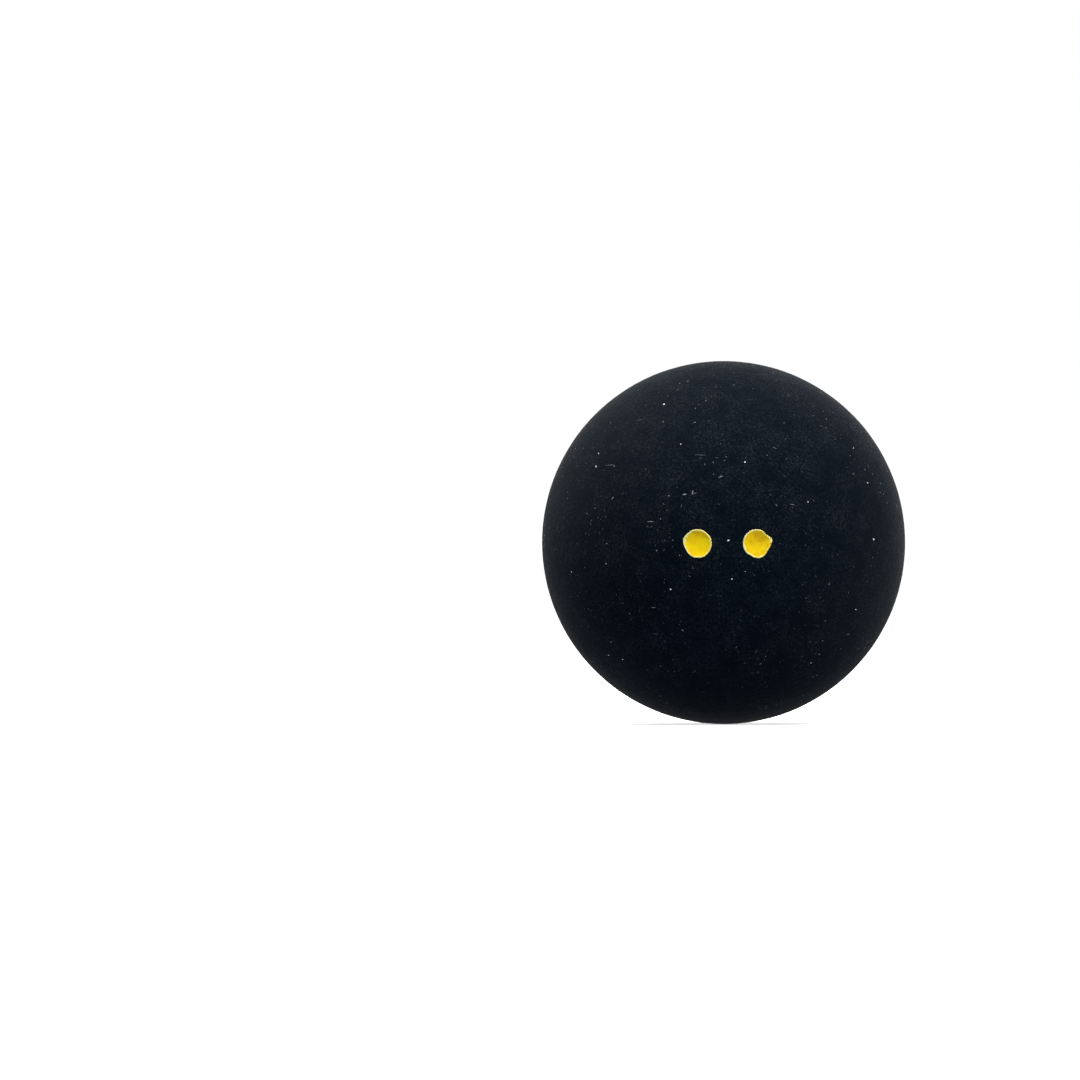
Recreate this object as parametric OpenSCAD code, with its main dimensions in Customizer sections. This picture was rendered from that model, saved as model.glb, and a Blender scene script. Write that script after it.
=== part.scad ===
// Squash ball: two moulded rubber half shells bonded edge to edge, with two painted dots.
// Sizes are in millimetres. The origin is the ball's centre and +Z is up. The ball's own axis
// lies along Y: the half with the dots is on the -Y side, and the printed half on the +Y side.

/* [Ball] */
// Outside diameter of the ball
ball_d = 40; // [39.5:0.1:45]
// Thickness of the rubber wall
wall = 5.2; // [4:0.1:7]

/* [Seam] */
// Thickness of the rubber solution between the two ground edges
seam_t = 0.2; // [0.1:0.02:0.4]
// How far below the ball's surface the rubber solution ends
seam_relief = 0.1; // [0.05:0.01:0.3]
// Bevel on the inner edge of each half shell, which takes up the squeezed-out rubber solution
lip_bevel = 0.6; // [0.3:0.05:1.2]
// How far the squeezed-out bead laps past the bevel onto the cavity's wall
bead_lap = 0.15; // [0.05:0.05:0.5]

/* [Dots] */
// Diameter of the moulded recess that holds each dot
dot_d = 3.2; // [2.2:0.1:4.4]
// Distance between the centres of the two dots
dot_spacing = 6.5; // [5:0.1:10]
// Depth of each recess
dot_depth = 0.6; // [0.45:0.05:1.2]
// Rounding between a recess's wall and its floor
dot_fillet = 0.2; // [0.05:0.01:0.3]
// Bevel round the mouth of each recess
dot_bevel = 0.08; // [0.03:0.01:0.15]
// Thickness of the paint in the middle of a dot
paint_t = 0.2; // [0.1:0.02:0.3]
// Radius of the raised bead of paint round the edge of a dot
paint_rim_r = 0.1; // [0.05:0.01:0.15]

/* [Colours] */
// Buffed black rubber
rubber_color = "#16191d"; // ["#16191d", "#0b0c0e"]
// Dried rubber solution
solution_color = "#3a322a"; // ["#3a322a", "#1c1a18"]
// Paint of the dots
paint_color = "#e3bf10"; // ["#e3bf10", "#d03030", "#2f6fd0"]

/* [Hidden] */
$fn = 96;

// The side of the ball that a half shell or a dot is on
DOTTED = -1;
PRINTED = 1;
LEFT = -1;
RIGHT = 1;

ball_r = ball_d / 2;
cavity_r = ball_r - wall;

// How far a cutting shape runs past what it cuts
overrun = wall / 10;

// The bead of rubber solution is round, and lies halfway along the bevels
edge_h = seam_t / 2;
bead_x = cavity_r + lip_bevel / 2;
bead_r = edge_h + lip_bevel + bead_lap;

// Each dot's own axis runs out from the ball's centre, so in any plane through that axis
// the ball's surface is a circle about the centre
dot_r = dot_d / 2;
dot_turn = asin(dot_spacing / 2 / ball_r);
floor_h = ball_r - dot_depth;
mouth_h = surface_h(dot_r);

// The paint has dried to a bowl that rises from its middle to the bead round its edge
rim_x = dot_r - paint_rim_r;
rim_h = surface_h(rim_x);
bowl_h = floor_h + paint_t;
bowl_rise = rim_h - bowl_h;
bowl_r = (rim_x * rim_x + bowl_rise * bowl_rise) / (2 * bowl_rise);

// Height of the ball's surface over its centre, at a distance x from the axis
function surface_h(x) = sqrt(ball_r * ball_r - x * x);

// Points a shape drawn upwards to the pole of one side of the ball, its start turned to the top
module to_pole(side) {
    rotate([-90 * side, 0, 0])
        rotate([0, 0, -90 * side])
            children();
}

// Points a shape drawn upwards along the axis of one dot
module to_dot(side) {
    rotate([0, 0, dot_turn * side])
        to_pole(DOTTED)
            children();
}

// Everything to the right of the axis and over a height
module right_of_axis(low) {
    translate([0, low])
        square([ball_r + overrun, ball_r + overrun - low]);
}

// Half of a half shell's section: the wall, its flat ground edge and the bevel inside it
module wall_section() {
    bevel_top = edge_h + lip_bevel;
    difference() {
        intersection() {
            circle(r = ball_r);
            right_of_axis(edge_h);
        }
        circle(r = cavity_r);
        polygon([
            [cavity_r - lip_bevel, edge_h - overrun],
            [cavity_r + lip_bevel + overrun, edge_h - overrun],
            [cavity_r - lip_bevel, bevel_top + lip_bevel]
        ]);
    }
}

// Half of the seam's section: the thin layer between the edges, and the bead in the bevels
module seam_section() {
    difference() {
        union() {
            translate([bead_x, -edge_h])
                square([ball_r - seam_relief - bead_x, seam_t]);
            translate([bead_x, 0])
                circle(r = bead_r);
        }
        wall_section();
        mirror([0, 1])
            wall_section();
    }
}

// Half of a recess's section, which runs on past the ball's surface
module recess_section() {
    wall_h = floor_h + dot_fillet;
    translate([0, wall_h])
        square([dot_r, ball_r + overrun - wall_h]);
    translate([0, floor_h])
        square([dot_r - dot_fillet, dot_fillet + overrun / 2]);
    translate([dot_r - dot_fillet, wall_h])
        circle(r = dot_fillet);
    polygon([
        [0, mouth_h - dot_bevel],
        [dot_r, mouth_h - dot_bevel],
        [dot_r + dot_bevel + overrun, mouth_h + overrun],
        [0, mouth_h + overrun]
    ]);
}

// Half of a dot's section: paint that fills the recess's edge and sinks to a bowl in its middle
module paint_section() {
    difference() {
        intersection() {
            recess_section();
            circle(r = ball_r);
        }
        translate([0, bowl_h + bowl_r])
            circle(r = bowl_r);
    }
    translate([rim_x, rim_h])
        circle(r = paint_rim_r);
}

module dotted_half_shell() {
    color(rubber_color)
        difference() {
            to_pole(DOTTED)
                rotate_extrude()
                    wall_section();
            for (side = [LEFT, RIGHT])
                to_dot(side)
                    rotate_extrude()
                        recess_section();
        }
}

module printed_half_shell() {
    color(rubber_color)
        to_pole(PRINTED)
            rotate_extrude()
                wall_section();
}

module seam_adhesive() {
    color(solution_color)
        to_pole(PRINTED)
            rotate_extrude()
                seam_section();
}

module dot_paint(side) {
    color(paint_color)
        to_dot(side)
            rotate_extrude()
                paint_section();
}

module left_dot_paint() {
    dot_paint(LEFT);
}

module right_dot_paint() {
    dot_paint(RIGHT);
}

dotted_half_shell();
printed_half_shell();
seam_adhesive();
left_dot_paint();
right_dot_paint();
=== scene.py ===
"""Looks of a squash ball: buffed black rubber, two yellow paint dots and a pale print on the far side."""

import math
import random

import bmesh
import bpy
from bpy.props import FloatProperty, FloatVectorProperty, IntProperty, PointerProperty
from mathutils import Matrix, Vector, noise
from mathutils.geometry import intersect_line_sphere


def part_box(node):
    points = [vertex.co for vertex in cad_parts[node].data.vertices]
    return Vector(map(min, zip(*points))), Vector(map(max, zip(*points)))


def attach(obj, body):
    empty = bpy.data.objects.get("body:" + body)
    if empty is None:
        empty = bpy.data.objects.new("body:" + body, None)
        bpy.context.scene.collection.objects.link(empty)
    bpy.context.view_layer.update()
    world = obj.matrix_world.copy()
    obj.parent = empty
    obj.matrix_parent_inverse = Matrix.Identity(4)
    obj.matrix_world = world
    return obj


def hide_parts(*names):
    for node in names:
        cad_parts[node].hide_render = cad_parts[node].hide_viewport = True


bl_info = {
    "name": "Squash ball",
    "version": (1, 0, 0),
    "blender": (4, 5, 0),
    "location": "View3D > Sidebar > Squash Ball",
    "description": "Dresses a squash ball: rubber half shells, paint dots, print and specks",
    "category": "Add Mesh",
}

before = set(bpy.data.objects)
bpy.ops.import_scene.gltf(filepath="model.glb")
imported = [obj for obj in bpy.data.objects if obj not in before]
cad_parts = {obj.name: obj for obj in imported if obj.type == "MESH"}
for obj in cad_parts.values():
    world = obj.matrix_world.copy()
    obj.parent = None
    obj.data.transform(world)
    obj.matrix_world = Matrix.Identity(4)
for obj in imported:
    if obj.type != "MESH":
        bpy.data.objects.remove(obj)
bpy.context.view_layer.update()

MM = 0.001
# Points closer than this are merged
MERGE_GAP = 0.0001 * MM
# Heights closer than this are the same
LEVEL_GAP = 0.001 * MM
SHARP_ANGLE = math.radians(60)
LEFT_DOT, RIGHT_DOT = "left_dot_paint", "right_dot_paint"
DOTTED, PRINTED = "dotted_half_shell", "printed_half_shell"


def points_of(node):
    """The corners of a CAD node's mesh, as measured from the ball's centre."""
    return [v.co.copy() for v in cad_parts[node].data.vertices]


# Sizes of the ball, read from the CAD nodes
BALL_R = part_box(PRINTED)[1].y
EDGE_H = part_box(PRINTED)[0].y
CAVITY_R = min(p.length for p in points_of(PRINTED))
LIP_R = min(math.hypot(p.x, p.z) for p in points_of(PRINTED) if p.y < EDGE_H + LEVEL_GAP)
UP = Vector((0, 0, 1))


class RubberSettings(bpy.types.PropertyGroup):
    """The two half shells and their rubber."""

    colour: FloatVectorProperty(
        name="Rubber colour",
        description="Colour of the black rubber",
        subtype="COLOR",
        size=3,
        min=0,
        max=1,
        default=(0.0002, 0.0020, 0.0055),
    )
    dust_colour: FloatVectorProperty(
        name="Dust colour",
        description="Colour of the fine pale dust that buffing leaves in the rubber",
        subtype="COLOR",
        size=3,
        min=0,
        max=1,
        default=(0.0184, 0.0240, 0.0290),
    )
    relief: FloatProperty(
        name="Relief",
        description="How far the buffed surface rises and falls",
        unit="LENGTH",
        default=0.012 * MM,
        min=0,
    )
    relief_size: FloatProperty(
        name="Relief size",
        description="Distance from one rise of the buffed surface to the next",
        unit="LENGTH",
        default=1.6 * MM,
        min=0.1 * MM,
    )
    grain_size: FloatProperty(
        name="Grain size",
        description="Size of the rubber's fine grain",
        unit="LENGTH",
        default=0.20 * MM,
        min=0.01 * MM,
    )


class DotSettings(bpy.types.PropertyGroup):
    """The two paint dots."""

    body_colour: FloatVectorProperty(
        name="Paint colour",
        description="Golden yellow of the dots",
        subtype="COLOR",
        size=3,
        min=0,
        max=1,
        default=(0.80, 0.570, 0.002),
    )
    # The rim's pale colour is partly paler dried paint and partly a painted highlight of its raised lip
    rim_and_highlight_colour: FloatVectorProperty(
        name="Rim colour",
        description="Pale yellow of the dried crust round the dots",
        subtype="COLOR",
        size=3,
        min=0,
        max=1,
        default=(0.79, 0.68, 0.25),
    )
    # Ochre of thin paint, which high in each dot also stands as painted shade from the recess's upper wall
    thin_and_shade_colour: FloatVectorProperty(
        name="Thin paint colour",
        description="Ochre of the paint where it has dried thin",
        subtype="COLOR",
        size=3,
        min=0,
        max=1,
        default=(0.56, 0.30, 0.002),
    )
    rim_height: FloatProperty(
        name="Rim height",
        description="How far the dried crust stands over the rubber",
        unit="LENGTH",
        default=0.07 * MM,
        min=0,
    )
    crust: FloatProperty(
        name="Crust",
        description="How uneven the dried crust is",
        unit="LENGTH",
        default=0.045 * MM,
        min=0,
    )


class PrintSettings(bpy.types.PropertyGroup):
    """The pale print on the far side."""

    ink_colour: FloatVectorProperty(
        name="Ink colour",
        description="Pale silvery grey of the print",
        subtype="COLOR",
        size=3,
        min=0,
        max=1,
        default=(0.41, 0.50, 0.58),
    )
    ink_depth: FloatProperty(
        name="Ink depth",
        description="Thickness of the ink film",
        unit="LENGTH",
        default=0.02 * MM,
        min=0.005 * MM,
    )


class SpeckSettings(bpy.types.PropertyGroup):
    """The pale specks and short hairs on the rubber."""

    count: IntProperty(
        name="Specks",
        description="How many specks the dotted half carries",
        default=290,
        min=0,
    )
    dust_count: IntProperty(
        name="Dust grains",
        description="How many grains of finer, darker dust the dotted half carries",
        default=850,
        min=0,
    )
    printed_share: FloatProperty(
        name="Specks on the printed half",
        description="How many specks and grains the printed half carries for each one of the dotted half",
        default=3.8,
        min=0,
    )
    size: FloatProperty(
        name="Speck size",
        description="Radius of a common speck",
        unit="LENGTH",
        default=0.045 * MM,
        min=0.01 * MM,
    )
    seed: IntProperty(
        name="Seed",
        description="Seed of the specks' places",
        default=7,
    )


class StageSettings(bpy.types.PropertyGroup):
    """Camera, lamps and floor."""

    distance: FloatProperty(
        name="Camera distance",
        description="Distance from the camera to the ball",
        unit="LENGTH",
        default=2.5,
        min=0.5,
    )
    turn: FloatProperty(
        name="Camera turn",
        description="How far the camera stands to the right of the ball's own axis",
        subtype="ANGLE",
        default=math.radians(-0.69),
    )
    lift: FloatProperty(
        name="Camera lift",
        description="How far the camera stands over the ball's own axis",
        subtype="ANGLE",
        default=math.radians(0.29),
    )
    front_power: FloatProperty(
        name="Front lamp",
        description="Power of the soft lamp high in front of the ball, to the right",
        unit="POWER",
        default=6.6,
        min=0,
    )
    back_power: FloatProperty(
        name="Back lamp",
        description="Power of the soft lamp high behind the ball, to the left",
        unit="POWER",
        default=5.0,
        min=0,
    )
    far_power: FloatProperty(
        name="Far lamp",
        description="Power of the soft lamp behind the ball, for its printed side",
        unit="POWER",
        default=1.0,
        min=0,
    )
    top_power: FloatProperty(
        name="Top lamp",
        description="Power of the soft lamp over the ball",
        unit="POWER",
        default=1.6,
        min=0,
    )


# Meshes


def finished(name, bm, material, *nodes, slot):
    """Turns a bmesh into a piece that rides on the ball and stands for the given CAD nodes."""
    mesh = bpy.data.meshes.new(name)
    bm.to_mesh(mesh)
    bm.free()
    mesh.shade_smooth()
    mesh.set_sharp_from_angle(angle=SHARP_ANGLE)
    mesh.materials.append(material)
    piece = bpy.data.objects.new(name, mesh)
    bpy.context.scene.collection.objects.link(piece)
    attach(piece, "root")
    if nodes:
        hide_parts(*nodes)
    return piece


def outward(axis):
    """The turn that points a shape drawn up +Z along an axis of the ball, its +Y kept towards the top."""
    axis = axis.normalized()
    right = UP.cross(axis).normalized()
    up = axis.cross(right)
    return Matrix((right, up, axis)).transposed()


def surface_h(x):
    """Height of the ball's surface over its centre, at a distance x from an axis."""
    return math.sqrt(BALL_R * BALL_R - x * x)


def boundary(bm):
    """The edges round an opening."""
    return [e for e in bm.edges if e.is_boundary]


def extruded(bm, edges, move):
    """Extrudes an open edge loop and moves the new corners by a function of their place."""
    made = bmesh.ops.extrude_edge_only(bm, edges=edges)["geom"]
    for v in made:
        if isinstance(v, bmesh.types.BMVert):
            v.co = move(v.co)
    return [e for e in made if isinstance(e, bmesh.types.BMEdge)]


def spun(profile, steps):
    """A closed solid, spun about +Z from (distance, height) points that start and end on the axis."""
    bm = bmesh.new()
    corners = [bm.verts.new((x, 0, z)) for x, z in profile]
    edges = [bm.edges.new(pair) for pair in zip(corners, corners[1:])]
    bmesh.ops.spin(
        bm,
        geom=corners + edges,
        cent=(0, 0, 0),
        axis=(0, 0, 1),
        angle=math.tau,
        steps=steps,
        use_merge=True,
    )
    bmesh.ops.remove_doubles(bm, verts=bm.verts, dist=MERGE_GAP)
    bmesh.ops.recalc_face_normals(bm, faces=bm.faces)
    return bm


# Half shells

# Radius of a dot's finish paint, as a share of the wall of its CAD node
PAINT_SHARE = 0.972
# Shares of the broad, fine and finest waves in the relief, and shifts that keep them apart
WAVE_SHARES = (0.8, 0.7, 0.5)
FINE_SHIFT, FINEST_SHIFT = Vector((7, 3, 5)), Vector((2, 9, 4))
# How often the outside is divided, and how many rings make the cavity, which nobody sees
OUTSIDE_CUTS = 8
CAVITY_RINGS = 8
# A recess: the curve round its floor, how far inside the paint's edge its wall lies, and its cutter's reach
RECESS_FILLET = 0.2 * MM
RECESS_LAP = 0.05 * MM
CUTTER_REACH = 0.5 * MM
RECESS_STEPS = 96


class Dot:
    """Where a dot lies on the ball and how deep its recess is, read from its CAD node."""

    NEAR_FLOOR = 0.3 * MM
    NEAR_MIDDLE = 0.05 * MM

    def __init__(self, node):
        low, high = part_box(node)
        self.mouth_r = (high.z - low.z) / 2
        lean = (low.x + high.x) / 2 / surface_h(self.mouth_r)
        self.axis = Vector((lean, -math.sqrt(1 - lean * lean), 0))
        heights = [p.dot(self.axis) for p in points_of(node)]
        reaches = [p.cross(self.axis).length for p in points_of(node)]
        self.floor_h = min(heights)
        wall_r = max(r for r, h in zip(reaches, heights) if h < self.floor_h + self.NEAR_FLOOR)
        self.bowl_h = max(h for r, h in zip(reaches, heights) if r < self.NEAR_MIDDLE)
        self.paint_r = PAINT_SHARE * wall_r


def arc_points(centre, radius, start, end, count):
    """Points along an arc, both ends included, with angles in degrees."""
    return [
        (
            centre[0] + radius * math.cos(math.radians(start + (end - start) * i / count)),
            centre[1] + radius * math.sin(math.radians(start + (end - start) * i / count)),
        )
        for i in range(count + 1)
    ]


def relief_at(place, settings):
    """How far the buffed surface stands off the true ball at a place."""
    broad = noise.noise(place / (settings.relief_size * 3))
    fine = noise.noise(place / settings.relief_size + FINE_SHIFT)
    finest = noise.noise(place / (settings.relief_size / 3) + FINEST_SHIFT)
    waves = WAVE_SHARES[0] * broad + WAVE_SHARES[1] * fine + WAVE_SHARES[2] * finest
    return settings.relief * (waves - 1)


def half_shell(side, settings):
    """One half shell, closed: the buffed outside, the ground edge, its bevel and the cavity's wall."""
    bm = bmesh.new()
    bmesh.ops.create_icosphere(bm, subdivisions=OUTSIDE_CUTS, radius=BALL_R)
    bmesh.ops.bisect_plane(
        bm,
        geom=bm.verts[:] + bm.edges[:] + bm.faces[:],
        plane_co=(0, side * EDGE_H, 0),
        plane_no=(0, -side, 0),
        clear_outer=True,
    )
    for v in bm.verts:
        on_edge = abs(v.co.y) < EDGE_H + LEVEL_GAP
        v.co *= 1 + relief_at(v.co, settings) / BALL_R
        if on_edge:
            v.co.y = side * EDGE_H

    def ring(radius, height):
        return lambda p: Vector((p.x, 0, p.z)).normalized() * radius + Vector((0, side * height, 0))

    bevel_h = EDGE_H + LIP_R - CAVITY_R
    loop = extruded(bm, boundary(bm), ring(LIP_R, EDGE_H))
    rise = math.asin(bevel_h / CAVITY_R)
    for i in range(CAVITY_RINGS):
        turn = rise + (math.pi / 2 - rise) * i / CAVITY_RINGS
        loop = extruded(bm, loop, ring(CAVITY_R * math.cos(turn), CAVITY_R * math.sin(turn)))
    pole = Vector((0, side * CAVITY_R, 0))
    extruded(bm, loop, lambda p: pole)
    bmesh.ops.remove_doubles(bm, verts=bm.verts, dist=MERGE_GAP)
    bmesh.ops.recalc_face_normals(bm, faces=bm.faces)
    return bm


def recess_cutter(dot):
    """A solid of the recess that a dot's paint fills."""
    top = BALL_R + CUTTER_REACH
    wall = dot.paint_r - RECESS_LAP
    curve_at = (wall - RECESS_FILLET, dot.floor_h + RECESS_FILLET)
    profile = [(0, dot.floor_h), *arc_points(curve_at, RECESS_FILLET, -90, 0, 6), (wall, top), (0, top)]
    bm = spun(profile, RECESS_STEPS)
    bmesh.ops.transform(bm, matrix=outward(dot.axis).to_4x4(), verts=bm.verts)
    return bm


def cut_out(piece, bm):
    """Cuts a solid out of a piece, for good."""
    mesh = bpy.data.meshes.new("cutter")
    bm.to_mesh(mesh)
    bm.free()
    cutter = bpy.data.objects.new("cutter", mesh)
    bpy.context.scene.collection.objects.link(cutter)
    cut = piece.modifiers.new("recess", "BOOLEAN")
    cut.operation = "DIFFERENCE"
    cut.solver = "EXACT"
    cut.object = cutter
    view = bpy.context.evaluated_depsgraph_get()
    done = bpy.data.meshes.new_from_object(piece.evaluated_get(view))
    done.name = piece.name
    piece.modifiers.clear()
    piece.data = done
    bpy.data.objects.remove(cutter)


# Circles of the bake map: across, up and radius
OUTSIDE_CIRCLE = (0.5, 0.5, 0.49)
INSIDE_CIRCLE = (0.085, 0.085, 0.08)
RECESS_CIRCLE = (0.915, 0.085, 0.25)
# The outside's faces lie past the first share of the ball's radius, the inside's under the second
OUTSIDE_SHARE = 0.985
INSIDE_SHARE = 0.92
# How squarely a face of the outside points away from the centre
OUTSIDE_FACING = 0.9


def bake_map(piece, side):
    """Gives a half shell its bake map: the outside, the inside and the recesses, each in a circle."""
    mesh = piece.data
    turn = outward(Vector((0, side, 0))).transposed()
    flat = []
    for v in mesh.vertices:
        place = turn @ v.co
        reach = BALL_R * math.sqrt(1 + place.z / place.length)
        flat.append((place.x / reach, place.y / reach))
    corners = []
    for face in mesh.polygons:
        depth = face.center.length / BALL_R
        facing = face.normal.dot(face.center) / face.center.length
        if depth > OUTSIDE_SHARE and facing > OUTSIDE_FACING:
            x, y, radius = OUTSIDE_CIRCLE
        elif depth < INSIDE_SHARE:
            x, y, radius = INSIDE_CIRCLE
        else:
            x, y, radius = RECESS_CIRCLE
        for i in face.vertices:
            corners += (x + radius * flat[i][0], y + radius * flat[i][1])
    mesh.uv_layers.new(name="OFBake").data.foreach_set("uv", corners)


# Paint dots

# Depth of a bowl as a share of the one in its CAD node, and how steeply its side rises from its flat middle
BOWL_SHARE = 0.45
BOWL_POWER = 2.6
# Lumps and flats of each dot's outline: angle, height as a share of its radius, and width in degrees
LEFT_LUMP_SHARES = [(162, 0.07, 15), (210, -0.06, 24), (298, 0.04, 14), (45, -0.03, 14)]
RIGHT_LUMP_SHARES = [
    (14, 0.13, 11),
    (46, -0.09, 13),
    (240, -0.06, 13),
    (285, 0.04, 18),
    (328, -0.09, 17),
]
# Places where the paint has dried thin, and, high in each dot, painted shade from the recess's upper wall:
# across, up, and size, as shares of the radius, and strength
LEFT_THIN_AND_SHADE_SHARES = [(-0.05, 0.64, 0.34, 0.75), (0.45, 0.45, 0.22, 0.5)]
RIGHT_THIN_AND_SHADE_SHARES = [
    (0.05, 0.52, 0.32, 1.0),
    (0.36, 0.30, 0.24, 0.9),
    (-0.45, 0.15, 0.24, 0.5),
    (0, -0.2, 1.0, 0.42),
]
# Below its edge the paint is this much narrower, and this far it takes to widen
PAINT_INSET = 0.06 * MM
NECK_H = 0.05 * MM
# How far the edge lies under the rubber's surface
EDGE_DIP = 0.03 * MM
# Radius of the crust, and how far it curls over to the bowl, in degrees
CRUST_R = 0.07 * MM
CRUST_CURL = 140
# Heights from the edge: the paint wavers in outline above the first, and is lumpy above the second
WAVER_FROM, LUMPS_FROM = -0.1 * MM, 0.01 * MM
# The crust's lumps: where they start and are full, as shares of the dot's radius, and their size
CRUST_START, CRUST_FULL = 0.80, 0.92
CRUST_LUMP = 0.13 * MM
# Finer lumps: their strength and how many times finer they are, and the same for the bowl's ripple
FINE_LUMP, FINER = 0.6, 2.3
RIPPLE, WIDER = 0.10, 3
# How far the outline wavers, as a share of the radius, and how often
WAVER, WAVER_RATE = 0.025, 7
BOWL_RINGS = 24
DOT_STEPS = 200


def outline_share(angle, lumps):
    """Radius of a dot's outline at an angle, as a share of its plain radius."""
    share = 1.0
    for at, height, width in lumps:
        away = (angle - at + 180) % 360 - 180
        share += height * math.exp(-((away / width) ** 2))
    return share


def thin_and_shade_share(x, y, spots):
    """How thin the paint has dried, with painted shade high in the dot, from 0 to 1, at a place given as
    shares of the dot's radius.
    """
    total = 0
    for across, up, size, amount in spots:
        total += amount * math.exp(-(((x - across) ** 2 + (y - up) ** 2) / size**2))
    return min(1.0, total)


def dot_profile(dot, settings):
    """A dot's outline, from under its middle round the crust to its top, and the height of its edge."""
    wall = dot.paint_r - PAINT_INSET
    rim_x = dot.paint_r - CRUST_R
    rim_h = surface_h(rim_x) + settings.rim_height - CRUST_R
    lap_h = surface_h(dot.paint_r) - EDGE_DIP
    inner_x = rim_x - CRUST_R * math.cos(math.radians(180 - CRUST_CURL))
    inner_h = rim_h + CRUST_R * math.sin(math.radians(180 - CRUST_CURL))
    rise = (inner_h - dot.bowl_h) * BOWL_SHARE
    profile = [(0, dot.floor_h), (wall * 0.5, dot.floor_h), (wall * 0.85, dot.floor_h)]
    curve_at = (wall - RECESS_FILLET, dot.floor_h + RECESS_FILLET)
    profile += arc_points(curve_at, RECESS_FILLET, -80, 0, 4)
    profile += [(wall, lap_h - NECK_H), (dot.paint_r, lap_h)]
    profile += arc_points((rim_x, rim_h), CRUST_R, 0, CRUST_CURL, 9)
    for i in range(1, BOWL_RINGS + 1):
        share = 1 - i / BOWL_RINGS
        profile.append((inner_x * share, inner_h - rise * (1 - share**BOWL_POWER)))
    return profile, lap_h


def dot_paint(dot, lumps, thin_and_shade, settings):
    """Paint that fills a recess, sinks to a bowl in its middle and dries to a crust round its edge."""
    profile, lap_h = dot_profile(dot, settings)
    bm = spun(profile, DOT_STEPS)
    edge = bm.verts.layers.float.new("edge_share")
    thinness = bm.verts.layers.float.new("thinness")
    for v in bm.verts:
        x, y, z = v.co
        r = math.hypot(x, y)
        share = r / dot.paint_r
        v[edge] = share
        # How thin the paint is, with painted shade high in the dot
        v[thinness] = thin_and_shade_share(x / dot.paint_r, y / dot.paint_r, thin_and_shade)
        if z <= lap_h + WAVER_FROM:
            continue
        angle = math.degrees(math.atan2(y, x))
        spread = 1 + (outline_share(angle, lumps) - 1) * share**2
        spread += WAVER * share**4 * noise.noise(Vector((x, y, 0)).normalized() * WAVER_RATE)
        lift = surface_h(min(r * spread, BALL_R)) - surface_h(r)
        on_rim = 0.0
        if z > lap_h + LUMPS_FROM:
            on_rim = max(0.0, min(1.0, (share - CRUST_START) / (CRUST_FULL - CRUST_START)))
        place = Vector((x, y, z)) / CRUST_LUMP
        rough = noise.noise(place) + FINE_LUMP * noise.noise(place * FINER)
        ripple = RIPPLE * noise.noise(place / WIDER)
        v.co.x, v.co.y = x * spread, y * spread
        v.co.z = z + lift * share + settings.crust * (on_rim * rough + ripple)
    bmesh.ops.transform(bm, matrix=outward(dot.axis).to_4x4(), verts=bm.verts)
    bmesh.ops.recalc_face_normals(bm, faces=bm.faces)
    return bm


# Print

# The rosette: its spot's radius, how far out its diamonds start, and the length and width of both kinds
SPOT_R = 0.75 * MM
PETAL_START = 1.2 * MM
PETALS = 8
LONG_PETAL = (4.6 * MM, 1.7 * MM)
SHORT_PETAL = (3.0 * MM, 1.2 * MM)
# The bands: how far each lies from the middle, its two bars, and its row of diamonds
BAND_H = 9 * MM
BAR_H = 1.5 * MM
BAR_LONG, BAR_WIDE = 15 * MM, 0.45 * MM
ROW_SIDE = 3
ROW_STEP = 2.1 * MM
ROW_DIAMOND = 1.5 * MM
# How far the ink creeps at its edges, and how far it is from one creep to the next
INK_CREEP, CREEP_SIZE = 0.05 * MM, 0.25 * MM
# Without a seed, noise_vector goes by the clock, and the edges come out otherwise at each run
CREEP_SEED = 1
# How far flat shapes are lifted off the ball before the ink gets its depth
INK_LIFT = 0.002 * MM
# How finely the shapes are divided, so that they follow the ball
DIAMOND_CUTS = 5
BAR_STEPS = 40
SPOT_STEPS = 28


def onto_ball(bm, verts, lift):
    """Wraps flat shapes, drawn round the pole as it is seen from the printed side, onto the ball."""
    for v in verts:
        v.co = Vector((v.co.x, v.co.y, surface_h(math.hypot(v.co.x, v.co.y)))) * (1 + lift / BALL_R)


def diamond(bm, x, y, long, wide, turn=0.0):
    """A flat diamond of ink, its length along a turn from the right."""
    size = Matrix.Diagonal((long / 2, wide / 2, 1, 1))
    place = Matrix.Translation((x, y, 0)) @ Matrix.Rotation(turn, 4, "Z") @ size
    made = bmesh.ops.create_circle(bm, cap_ends=True, segments=4, radius=1, matrix=place)["verts"]
    edges = made[0].link_faces[0].edges[:]
    bmesh.ops.subdivide_edges(bm, edges=edges, cuts=DIAMOND_CUTS, use_grid_fill=True)


def bar(bm, x, y, long, wide):
    """A flat bar of ink."""
    place = Matrix.Translation((x, y, 0)) @ Matrix.Diagonal((long / 2, wide / 2, 1, 1))
    bmesh.ops.create_grid(bm, x_segments=BAR_STEPS, y_segments=2, size=1, matrix=place)


def round_spot(bm, x, y, radius):
    """A flat round spot of ink."""
    place = Matrix.Translation((x, y, 0))
    bmesh.ops.create_circle(
        bm,
        cap_ends=True,
        cap_tris=True,
        segments=SPOT_STEPS,
        radius=radius,
        matrix=place,
    )


def inked(bm, depth):
    """Gives flat shapes slightly uneven edges, the ink's thickness and their place on the printed half."""
    noise.seed_set(CREEP_SEED)
    for v in bm.verts:
        v.co += INK_CREEP * noise.noise_vector(v.co / CREEP_SIZE)
    onto_ball(bm, bm.verts, INK_LIFT)
    bmesh.ops.recalc_face_normals(bm, faces=bm.faces)
    for f in bm.faces:
        if f.normal.z < 0:
            f.normal_flip()
    bmesh.ops.solidify(bm, geom=bm.faces[:], thickness=-depth)
    bmesh.ops.recalc_face_normals(bm, faces=bm.faces)
    bmesh.ops.transform(bm, matrix=outward(Vector((0, 1, 0))).to_4x4(), verts=bm.verts)
    return bm


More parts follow.
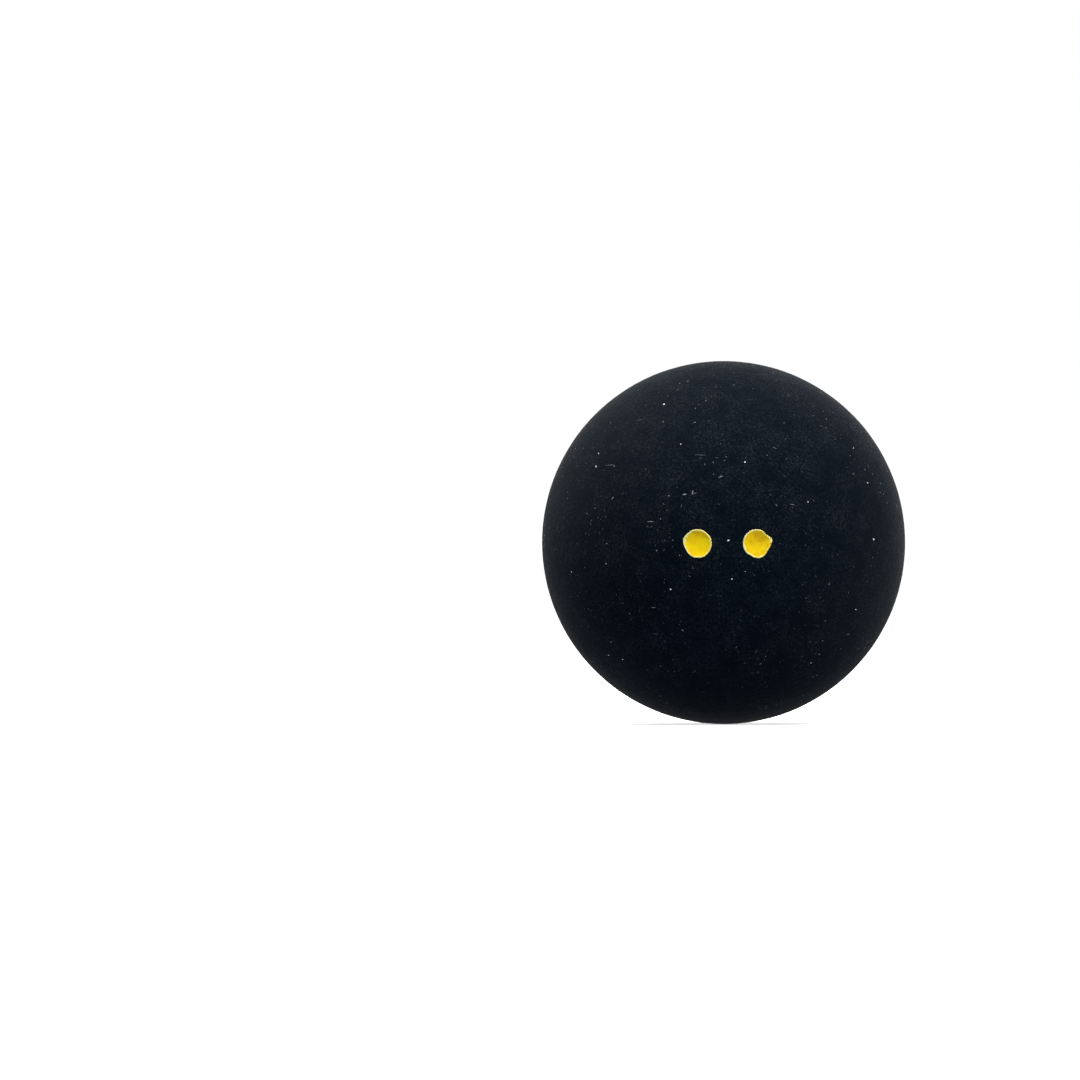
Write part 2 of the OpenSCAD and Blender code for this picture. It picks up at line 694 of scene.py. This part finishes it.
def rosette(depth):
    """Eight diamonds round a spot, long and short in turn."""
    bm = bmesh.new()
    round_spot(bm, 0, 0, SPOT_R)
    for i in range(PETALS):
        turn = math.tau * i / PETALS
        long, wide = LONG_PETAL if i % 2 == 0 else SHORT_PETAL
        reach = PETAL_START + long / 2
        diamond(bm, reach * math.cos(turn), reach * math.sin(turn), long, wide, turn)
    return inked(bm, depth)


def band(height, depth):
    """A straight row of small diamonds between two thin bars."""
    bm = bmesh.new()
    for bar_h in (height + BAR_H, height - BAR_H):
        bar(bm, 0, bar_h, BAR_LONG, BAR_WIDE)
    for i in range(-ROW_SIDE, ROW_SIDE + 1):
        diamond(bm, i * ROW_STEP, height, ROW_DIAMOND, ROW_DIAMOND)
    return inked(bm, depth)


# Places in the photograph

PHOTO_PX = 1080
# The ball's centre and radius in the photograph, measured from its corner
BALL_PX = (723.60, 542.60)
BALL_R_PX = 181.67
# Size of one of the photograph's pixels at the ball
PX = BALL_R / BALL_R_PX


def camera_turn(stage):
    """How the camera is turned round the ball."""
    return Matrix.Rotation(stage.turn, 4, "Z") @ Matrix.Rotation(-stage.lift, 4, "X")


def camera_place(stage):
    """Where the camera stands before it is turned, so that the ball lies where the photograph has it."""
    right = (BALL_PX[0] - PHOTO_PX / 2) * PX
    down = (BALL_PX[1] - PHOTO_PX / 2) * PX
    return Vector((-right, -stage.distance, down))


def on_ball(across, down, stage):
    """The direction of the point of the ball that the photograph shows at a pixel."""
    half_px = 0.5
    seen = Vector((across + half_px - BALL_PX[0], 0, BALL_PX[1] - half_px - down)) * PX
    hits = intersect_line_sphere(camera_place(stage), seen, Vector(), BALL_R, False)
    return (camera_turn(stage) @ min(hits, key=lambda hit: hit.y)).normalized()


# Specks

# The brightest specks of the photograph: across, down and radius, in its pixels
SPECK_PX = [
    (663.5, 403.5, 0.88),
    (595.5, 466, 1.02),
    (744.5, 461.5, 0.78),
    (728, 540, 0.95),
    (731.5, 578.5, 0.88),
    (670, 589, 0.92),
    (571, 571.5, 0.68),
    (807.5, 501.5, 0.66),
    (873, 539, 1.05),
    (867, 482.5, 0.66),
    (855.5, 609, 0.68),
    (605.5, 563.5, 0.60),
    (608, 655, 0.68),
    (622, 659, 0.70),
    (810.5, 662.5, 0.58),
    (680, 443.5, 0.54),
    (598, 453, 0.64),
    (662.5, 421.5, 0.38),
]
# Its short scratches: across, down, half length and half width in pixels, and turn in degrees
SCRATCH_PX = [
    (650, 521, 5.0, 0.4, 0),
    (692, 492, 2.5, 0.5, 80),
    (684, 494, 2.5, 0.6, 10),
    (653, 607, 2.5, 0.3, 0),
    (609.5, 464.5, 7.0, 0.2, 3),
    (700, 454.5, 6.0, 0.12, -4),
    (639, 419.5, 4.0, 0.15, 12),
    (792, 504, 3.0, 0.22, -8),
]
SPECK_TONE, SCRATCH_TONE = 1.0, 0.6
# Length of the brightest specks, as shares of their width
SPECK_LONGS = (0.9, 1.2)
# Size of a grain as shares of the common one, and length of hairs and plain grains as shares of their width
GRAIN_SIZES = (0.6, 1.4)
HAIR_LONGS = (2.5, 6)
GRAIN_LONGS = (1, 1.6)
HAIR_BEND = 1.6
# How small the patches are in which the grains gather, and how blurred
PATCHES, PATCH_BLUR = 5, 0.3
# How far grains keep from a dot's middle, as a share of its mouth
DOT_CLEAR = 1.25
# On the printed half the grains grow from this share at the seam, and by this much towards the print
SEAM_SHARE, SEAM_GROWTH = 0.3, 1.4


class Flakes:
    """Flat uneven grains, half sunk in the rubber, each with its own tone."""

    BATCH = 80
    SUNK = 0.012 * MM
    THICKEST = 0.035 * MM
    UNEVEN = 0.18

    def __init__(self, rng):
        self.rng = rng
        self.all = bmesh.new()
        self.all.verts.layers.float.new("tone")
        self.some = bmesh.new()
        self.count = 0

    def add(self, axis, long, wide, turn, tone, bend=0.0):
        """Adds a grain of a given half length, half width, turn and tone. A long one can be bent."""
        place = (
            outward(axis).to_4x4()
            @ Matrix.Translation((0, 0, BALL_R - self.SUNK))
            @ Matrix.Rotation(turn, 4, "Z")
            @ Matrix.Diagonal((long, wide, min(wide, self.THICKEST), 1))
        )
        layer = self.some.verts.layers.float.get("tone") or self.some.verts.layers.float.new("tone")
        rng = self.rng
        for v in bmesh.ops.create_icosphere(self.some, subdivisions=1, radius=1)["verts"]:
            v.co.y += bend * v.co.x**2
            v.co += Vector((rng.uniform(-1, 1), rng.uniform(-1, 1), rng.uniform(-1, 1))) * self.UNEVEN
            v.co = place @ v.co
            v[layer] = tone
        self.count += 1
        if self.count % self.BATCH == 0:
            self.gather()

    def gather(self):
        """Moves the last grains to the whole, which keeps each new one quick to add."""
        mesh = bpy.data.meshes.new("batch")
        self.some.to_mesh(mesh)
        self.some.free()
        self.all.from_mesh(mesh)
        bpy.data.meshes.remove(mesh)
        self.some = bmesh.new()

    def done(self):
        """All the grains, in one bmesh."""
        self.gather()
        self.some.free()
        return self.all


def specks(settings, dots, stage):
    """Pale grains and short hairs: the photograph's brightest, and scattered ones, more by the print."""
    rng = random.Random(settings.seed)
    flakes = Flakes(rng)
    for across, down, size in SPECK_PX:
        long = size * PX * rng.uniform(*SPECK_LONGS)
        axis = on_ball(across, down, stage)
        flakes.add(axis, long, size * PX, rng.uniform(0, math.pi), SPECK_TONE)
    for across, down, long, wide, turn in SCRATCH_PX:
        axis = on_ball(across, down, stage)
        flakes.add(axis, long * PX, wide * PX, math.radians(turn), SCRATCH_TONE)
    printed_count = int(settings.count * settings.printed_share)
    printed_dust = int(settings.dust_count * settings.printed_share)
    # Side of the ball, count, size as a share, brightest tone, and share of hairs
    kinds = (
        (-1, settings.count, 1.0, 0.75, 0.12),
        (-1, settings.dust_count, 0.7, 0.22, 0.25),
        (1, printed_count, 1.0, 0.95, 0.08),
        (1, printed_dust, 0.7, 0.30, 0.2),
    )
    for side, count, scale, brightest, hairs in kinds:
        left = count
        while left:
            axis = Vector((rng.gauss(0, 1), rng.gauss(0, 1), rng.gauss(0, 1))).normalized()
            axis.y = side * abs(axis.y)
            patch = noise.noise(axis * PATCHES) + rng.uniform(-PATCH_BLUR, PATCH_BLUR)
            near_dot = any(axis.angle(d.axis) < DOT_CLEAR * d.mouth_r / BALL_R for d in dots)
            near_seam = side > 0 and rng.random() > SEAM_SHARE + SEAM_GROWTH * axis.y
            if patch < 0 or near_dot or near_seam:
                continue
            left -= 1
            size = settings.size * scale * rng.uniform(*GRAIN_SIZES)
            long = size * rng.uniform(*(HAIR_LONGS if rng.random() < hairs else GRAIN_LONGS))
            tone = brightest * rng.random() ** 2
            turn = rng.uniform(0, math.pi)
            flakes.add(axis, long, size, turn, tone, rng.uniform(-HAIR_BEND, HAIR_BEND))
    return flakes.done()


# Materials

# Rubber: its pits as a share of the grain, the distance between its duller patches, and its bumps
PIT_SHARE = 2.6
PATCH_SIZE = 2.4 * MM
GRAIN_DEPTH = 0.05 * MM
RUBBER_GLOSS = 0.004
SHEEN, SHEEN_ROUGH, SHEEN_TINT = 0.028, 0.55, (0.92, 0.97, 1.0)
# Dried rubber solution: the distance between its lumps, their depth, and its two tones
SOLUTION_SIZE, SOLUTION_DEPTH = 0.5 * MM, 0.05 * MM
SOLUTION_DARK, SOLUTION_PALE = (0.0004, 0.0010, 0.0018), (0.0022, 0.0030, 0.0042)
# Paint: the distance between speckles and between clouds, and its deeper gold as shares of its colour
SPECKLE_SIZE, CLOUD_SIZE = 0.22 * MM, 0.7 * MM
DEEP_GOLD = (0.99, 0.86, 1.0)
# How much speckle breaks up the thin paint and its painted shade and frays the crust, and how thin the
# paint is beside the crust
THIN_BREAK, FRAY, HEM_THIN = 1.1, 0.50, 0.5
# The crust begins and is full at these sums of the edge's share and the speckle
CRUST_BEGINS, CRUST_COVERS = 1.135, 1.175
PAINT_DEPTH = 0.02 * MM
# Ink: the distance between its pinholes, and its bumps
PINHOLE_SIZE, INK_DEPTH = 0.17 * MM, 0.01 * MM
# Colours of the faintly warm lamps, and of the cool light that comes from all round and off the floor
LAMP_COLOUR = (1.0, 0.97, 0.90)
FILL_COLOUR = (0.078, 0.095, 0.114)
BOUNCE_COLOUR = (0.22, 0.31, 0.40)
WHITE = (1, 1, 1)
FLOOR_WHITE = (0.9, 0.9, 0.9)
# The floor's own light grows from the first strength to the second between these distances from the ball
GLOW_NEAR, GLOW_FAR = 0.7, 1.0
GLOW_FROM, GLOW_TO = 0.1, 0.45


def opaque(colour):
    """A colour with the fourth value that nodes ask for."""
    return (*colour, 1)


class Nodes:
    """A node tree, and short ways to add nodes to it and to join them."""

    def __init__(self, tree):
        self.tree = tree

    def add(self, kind, **values):
        """A new node. Its settings and the values of its inputs are given by name."""
        made = self.tree.nodes.new(kind)
        for key, value in values.items():
            if key in made.bl_rna.properties:
                setattr(made, key, value)
            else:
                made.inputs[key.replace("_", " ").title()].default_value = value
        return made

    def put(self, value, into):
        """Joins a node's output to an input, or gives the input a fixed value."""
        if isinstance(value, bpy.types.NodeSocket):
            self.tree.links.new(value, into)
        else:
            into.default_value = value

    def place(self):
        """The place on the object, in its own coordinates."""
        return self.add("ShaderNodeTexCoord").outputs["Object"]

    def carried(self, name):
        """A value that the mesh carries."""
        return self.add("ShaderNodeAttribute", attribute_name=name).outputs["Fac"]

    def cloud(self, size, detail):
        """Noise that rises and falls over a given distance."""
        made = self.add("ShaderNodeTexNoise", scale=1 / size, detail=detail)
        self.put(self.place(), made.inputs["Vector"])
        return made.outputs["Fac"]

    def ramp(self, source, stops):
        """A value turned into greys or colours, by (value, colour) stops."""
        made = self.add("ShaderNodeValToRGB")
        points = made.color_ramp.elements
        while len(points) < len(stops):
            points.new(0.5)
        for point, (value, colour) in zip(points, stops):
            point.position = value
            point.color = opaque([colour] * 3 if isinstance(colour, float) else colour)
        self.put(source, made.inputs["Fac"])
        return made.outputs["Color"]

    def combined(self, operation, *values, clamp=False):
        """Values worked together by a sum, a product or the like."""
        made = self.add("ShaderNodeMath", operation=operation, use_clamp=clamp)
        for value, into in zip(values, made.inputs):
            self.put(value, into)
        return made.outputs["Value"]

    def mix(self, share, first, second):
        """A colour between two others."""
        made = self.add("ShaderNodeMix", data_type="RGBA")
        for value, into in zip((share, first, second), (made.inputs[0], made.inputs[6], made.inputs[7])):
            self.put(value, into)
        return made.outputs[2]

    def surface(self, colour, roughness, gloss):
        """Gives the Principled shader its colour and gloss, and returns it."""
        shader = self.tree.nodes["Principled BSDF"]
        self.put(colour, shader.inputs["Base Color"])
        self.put(roughness, shader.inputs["Roughness"])
        self.put(gloss, shader.inputs["Specular IOR Level"])
        return shader

    def bumps(self, height, strength, depth):
        """Gives the Principled shader fine bumps."""
        bump = self.add("ShaderNodeBump", strength=strength, distance=depth)
        self.put(height, bump.inputs["Height"])
        self.put(bump.outputs["Normal"], self.tree.nodes["Principled BSDF"].inputs["Normal"])


def new_material(name):
    """A material with only its Principled shader, and its nodes."""
    material = bpy.data.materials.new(name)
    material.use_nodes = True
    return material, Nodes(material.node_tree)


def rubber_material(settings):
    """Buffed black rubber: fine grain, faint mottling, pale dust in the grain and a dusty sheen."""
    material, nodes = new_material("buffed_rubber")
    grain = nodes.cloud(settings.grain_size, 2.0)
    pits = nodes.cloud(settings.grain_size * PIT_SHARE, 2.0)
    dust = nodes.ramp(grain, [(0.38, 0.0), (0.60, 0.32), (0.74, 1.0)])
    patches = nodes.ramp(nodes.cloud(PATCH_SIZE, 3.0), [(0.36, 0.25), (0.66, 1.0)])
    dusty = nodes.combined("MULTIPLY", dust, patches)
    colour = nodes.mix(dusty, opaque(settings.colour), opaque(settings.dust_colour))
    roughness = nodes.ramp(pits, [(0.30, 0.52), (0.70, 0.64)])
    shader = nodes.surface(colour, roughness, RUBBER_GLOSS)
    nodes.bumps(nodes.combined("ADD", grain, pits), 1.0, GRAIN_DEPTH)
    nodes.put(SHEEN, shader.inputs["Sheen Weight"])
    nodes.put(SHEEN_ROUGH, shader.inputs["Sheen Roughness"])
    nodes.put(opaque(SHEEN_TINT), shader.inputs["Sheen Tint"])
    return material


def solution_material():
    """Dried rubber solution: dull and nearly black, slightly lumpy."""
    material, nodes = new_material("dried_rubber_solution")
    lumps = nodes.cloud(SOLUTION_SIZE, 3.0)
    nodes.surface(nodes.ramp(lumps, [(0.3, SOLUTION_DARK), (0.7, SOLUTION_PALE)]), 0.7, 0.015)
    nodes.bumps(lumps, 0.4, SOLUTION_DEPTH)
    return material


def paint_material(settings):
    """Yellow paint: golden in the bowl, ochre where it is thin and as painted shade high in the bowl, and a
    pale crust, partly a painted highlight, at its edge.
    """
    material, nodes = new_material("dot_paint")
    edge = nodes.carried("edge_share")
    speckle = nodes.cloud(SPECKLE_SIZE, 3.0)
    gold = tuple(settings.body_colour)
    deep_gold = tuple(c * share for c, share in zip(gold, DEEP_GOLD))
    golds = nodes.ramp(nodes.cloud(CLOUD_SIZE, 2.0), [(0.38, deep_gold), (0.60, gold)])
    # Paint is thin at the dot's own places, which high in the dot are painted shade, and in a hem inside
    # the crust, and speckle breaks both up
    hem = nodes.ramp(edge, [(0.66, 0.0), (0.83, 1.0), (0.90, 0.0)])
    worn_and_shaded = nodes.combined("MULTIPLY_ADD", hem, HEM_THIN, nodes.carried("thinness"))
    broken = nodes.combined("MULTIPLY_ADD", speckle, THIN_BREAK, -THIN_BREAK / 2)
    thinned_and_shaded = nodes.combined("ADD", worn_and_shaded, broken, clamp=True)
    thin_and_shade = nodes.ramp(thinned_and_shaded, [(0.30, 0.0), (0.95, 0.8)])
    inner = nodes.mix(thin_and_shade, golds, opaque(settings.thin_and_shade_colour))
    # The crust, pale partly as a painted highlight of its raised lip, begins along a frayed line
    crust = nodes.add("ShaderNodeMapRange", from_min=CRUST_BEGINS, from_max=CRUST_COVERS)
    nodes.put(nodes.combined("MULTIPLY_ADD", speckle, FRAY, edge), crust.inputs["Value"])
    colour = nodes.mix(crust.outputs["Result"], inner, opaque(settings.rim_and_highlight_colour))
    nodes.surface(colour, 0.5, 0.08)
    nodes.bumps(speckle, 0.5, PAINT_DEPTH)
    return material


def ink_material(settings):
    """Pale silvery ink with the black of the rubber showing through in fine pinholes."""
    material, nodes = new_material("print_ink")
    holes = nodes.cloud(PINHOLE_SIZE, 3.0)
    tones = ((0.30, 0.10), (0.42, 0.70), (0.55, 1), (0.68, 1.35))
    stops = [(value, tuple(share * c for c in settings.ink_colour)) for value, share in tones]
    nodes.surface(nodes.ramp(holes, stops), 0.55, 0.3)
    nodes.bumps(holes, 0.4, INK_DEPTH)
    return material


def speck_material():
    """Pale grains, each in its own grey."""
    material, nodes = new_material("pale_grains")
    stops = [(0.0, (0.035, 0.040, 0.046)), (0.6, (0.20, 0.22, 0.24)), (1.0, (0.80, 0.82, 0.84))]
    nodes.surface(nodes.ramp(nodes.carried("tone"), stops), 0.7, 0.2)
    return material


def clear_view(nodes):
    """Two values: 1 for rays from the camera, and 1 for rays that show the room in gloss or glass."""
    path = nodes.add("ShaderNodeLightPath").outputs
    gloss = nodes.combined("MAXIMUM", path["Is Glossy Ray"], path["Is Transmission Ray"])
    return path["Is Camera Ray"], gloss


def room_colour(nodes):
    """White to the camera and in gloss and glass, and the colour of the fill light to everything else."""
    camera, gloss = clear_view(nodes)
    return nodes.mix(nodes.combined("MAXIMUM", camera, gloss), opaque(FILL_COLOUR), opaque(WHITE))


def floor_material():
    """White floor that takes the ball's shadow, and stays white far off and in gloss and glass."""
    material, nodes = new_material("white_floor")
    nodes.tree.nodes.clear()
    camera, gloss = clear_view(nodes)

    def diffuse(colour):
        made = nodes.add("ShaderNodeBsdfDiffuse")
        nodes.put(opaque(colour), made.inputs["Color"])
        return made.outputs[0]

    def joined(kind, *values):
        made = nodes.add(kind)
        for value, into in zip(values, made.inputs):
            nodes.put(value, into)
        return made.outputs[0]

    reach = nodes.add("ShaderNodeVectorMath", operation="LENGTH")
    nodes.put(nodes.place(), reach.inputs[0])
    fade = nodes.add(
        "ShaderNodeMapRange",
        from_min=GLOW_FROM,
        from_max=GLOW_TO,
        to_min=GLOW_NEAR,
        to_max=GLOW_FAR,
    )
    nodes.put(reach.outputs["Value"], fade.inputs["Value"])
    glow = nodes.add("ShaderNodeEmission")
    nodes.put(fade.outputs["Result"], glow.inputs["Strength"])
    shown = joined("ShaderNodeAddShader", diffuse(FLOOR_WHITE), glow.outputs[0])
    seen = joined("ShaderNodeMixShader", camera, diffuse(BOUNCE_COLOUR), shown)
    white = nodes.add("ShaderNodeEmission").outputs[0]
    out = nodes.add("ShaderNodeOutputMaterial")
    nodes.put(joined("ShaderNodeMixShader", gloss, seen, white), out.inputs["Surface"])
    return material


# Operators

# Lamps, and the way from the ball to each
LAMPS = (
    ("front", (0.40, -0.55, 0.88)),
    ("back", (-0.44, 0.12, 0.87)),
    ("far", (0.15, 1, 0.25)),
    ("top", (0, -0.05, 1)),
)
LAMP_SIZE = 0.5
LAMP_DISTANCE = 0.65
FLOOR_R = 60
FLOOR_STEPS = 64


class SQUASH_OT_half_shells(bpy.types.Operator):
    """Makes the two rubber half shells, with the recesses of the dots"""

    bl_idname = "squash_ball.half_shells"
    bl_label = "Half shells"

    def execute(self, context):
        settings = context.scene.squash_rubber
        rubber = rubber_material(settings)
        dotted = finished("dotted_shell", half_shell(-1, settings), rubber, DOTTED, slot="rubber")
        for node in (LEFT_DOT, RIGHT_DOT):
            cut_out(dotted, recess_cutter(Dot(node)))
        printed = finished("printed_shell", half_shell(1, settings), rubber, PRINTED, slot="rubber")
        bake_map(dotted, -1)
        bake_map(printed, 1)
        return {"FINISHED"}


class SQUASH_OT_seam(bpy.types.Operator):
    """Gives the rubber solution in the seam its finish"""

    bl_idname = "squash_ball.seam"
    bl_label = "Seam"

    def execute(self, context):
        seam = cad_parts["seam_adhesive"]
        seam.data.materials.clear()
        seam.data.materials.append(solution_material())
        return {"FINISHED"}


class SQUASH_OT_dots(bpy.types.Operator):
    """Makes the two paint dots"""

    bl_idname = "squash_ball.dots"
    bl_label = "Dots"

    def execute(self, context):
        settings = context.scene.squash_dots
        paint = paint_material(settings)
        for name, node, lumps, thin_and_shade in (
            ("left_dot", LEFT_DOT, LEFT_LUMP_SHARES, LEFT_THIN_AND_SHADE_SHARES),
            ("right_dot", RIGHT_DOT, RIGHT_LUMP_SHARES, RIGHT_THIN_AND_SHADE_SHARES),
        ):
            finished(name, dot_paint(Dot(node), lumps, thin_and_shade, settings), paint, node, slot="dot_paint")
        return {"FINISHED"}


class SQUASH_OT_print(bpy.types.Operator):
    """Prints a plain ornament on the far side"""

    bl_idname = "squash_ball.print"
    bl_label = "Print"

    def execute(self, context):
        settings = context.scene.squash_print
        ink = ink_material(settings)
        depth = settings.ink_depth
        finished("print_rosette", rosette(depth), ink, slot="dot_paint")
        finished("print_upper_band", band(BAND_H, depth), ink, slot="dot_paint")
        finished("print_lower_band", band(-BAND_H, depth), ink, slot="dot_paint")
        return {"FINISHED"}


class SQUASH_OT_specks(bpy.types.Operator):
    """Scatters pale grains and short hairs on the rubber"""

    bl_idname = "squash_ball.specks"
    bl_label = "Specks"

    def execute(self, context):
        settings = context.scene.squash_specks
        dots = [Dot(LEFT_DOT), Dot(RIGHT_DOT)]
        grains = specks(settings, dots, context.scene.squash_stage)
        finished("pale_specks", grains, speck_material(), slot="rubber")
        return {"FINISHED"}


class SQUASH_OT_stage(bpy.types.Operator):
    """Sets the floor, the white surroundings, the lamps and the camera"""

    bl_idname = "squash_ball.stage"
    bl_label = "Stage"

    def execute(self, context):
        settings = context.scene.squash_stage
        self.floor(context)
        self.world(context)
        for name, towards in LAMPS:
            self.lamp(context, f"{name}_lamp", getattr(settings, f"{name}_power"), Vector(towards))
        self.camera(context, settings)
        return {"FINISHED"}

    def floor(self, context):
        bm = bmesh.new()
        lay = Matrix.Translation((0, 0, -BALL_R))
        bmesh.ops.create_circle(bm, cap_ends=True, segments=FLOOR_STEPS, radius=FLOOR_R, matrix=lay)
        mesh = bpy.data.meshes.new("floor")
        bm.to_mesh(mesh)
        bm.free()
        floor = bpy.data.objects.new("floor", mesh)
        context.scene.collection.objects.link(floor)
        mesh.materials.append(floor_material())

    def world(self, context):
        world = bpy.data.worlds.new("white_room")
        world.use_nodes = True
        nodes = Nodes(world.node_tree)
        nodes.put(room_colour(nodes), nodes.tree.nodes["Background"].inputs["Color"])
        context.scene.world = world

    def lamp(self, context, name, power, towards):
        data = bpy.data.lights.new(name, "AREA")
        data.shape = "SQUARE"
        data.size = LAMP_SIZE
        data.energy = power
        data.color = LAMP_COLOUR
        lamp = bpy.data.objects.new(name, data)
        lamp.location = towards.normalized() * LAMP_DISTANCE
        lamp.rotation_euler = towards.to_track_quat("Z", "Y").to_euler()
        lamp.visible_camera = False
        context.scene.collection.objects.link(lamp)

    def camera(self, context, settings):
        data = bpy.data.cameras.new("camera")
        data.lens = data.sensor_width * settings.distance / (PHOTO_PX * PX)
        camera = bpy.data.objects.new("camera", data)
        stand = Matrix.Translation(camera_place(settings)) @ Matrix.Rotation(math.pi / 2, 4, "X")
        camera.matrix_world = camera_turn(settings) @ stand
        context.scene.collection.objects.link(camera)
        context.scene.camera = camera
        context.scene.view_settings.view_transform = "Standard"


class SQUASH_PT_panel(bpy.types.Panel):
    """Lists the pieces of the squash ball"""

    bl_idname = "SQUASH_PT_panel"
    bl_label = "Squash Ball"
    bl_space_type = "VIEW_3D"
    bl_region_type = "UI"
    bl_category = "Squash Ball"

    def draw(self, context):
        for part in PARTS:
            self.layout.operator(part.bl_idname)
        for name in SETTINGS:
            group = getattr(context.scene, name)
            for key in group.__annotations__:
                self.layout.prop(group, key)


SETTINGS = {
    "squash_rubber": RubberSettings,
    "squash_dots": DotSettings,
    "squash_print": PrintSettings,
    "squash_specks": SpeckSettings,
    "squash_stage": StageSettings,
}
PARTS = (
    SQUASH_OT_half_shells,
    SQUASH_OT_seam,
    SQUASH_OT_dots,
    SQUASH_OT_print,
    SQUASH_OT_specks,
    SQUASH_OT_stage,
)


def register():
    for name, group in SETTINGS.items():
        bpy.utils.register_class(group)
        setattr(bpy.types.Scene, name, PointerProperty(type=group))
    for part in (*PARTS, SQUASH_PT_panel):
        bpy.utils.register_class(part)


def unregister():
    for part in (SQUASH_PT_panel, *reversed(PARTS)):
        bpy.utils.unregister_class(part)
    for name, group in reversed(SETTINGS.items()):
        delattr(bpy.types.Scene, name)
        bpy.utils.unregister_class(group)


def main():
    register()
    bpy.ops.squash_ball.half_shells()
    bpy.ops.squash_ball.seam()
    bpy.ops.squash_ball.dots()
    bpy.ops.squash_ball.print()
    bpy.ops.squash_ball.specks()
    bpy.ops.squash_ball.stage()


if __name__ == "__main__":
    main()
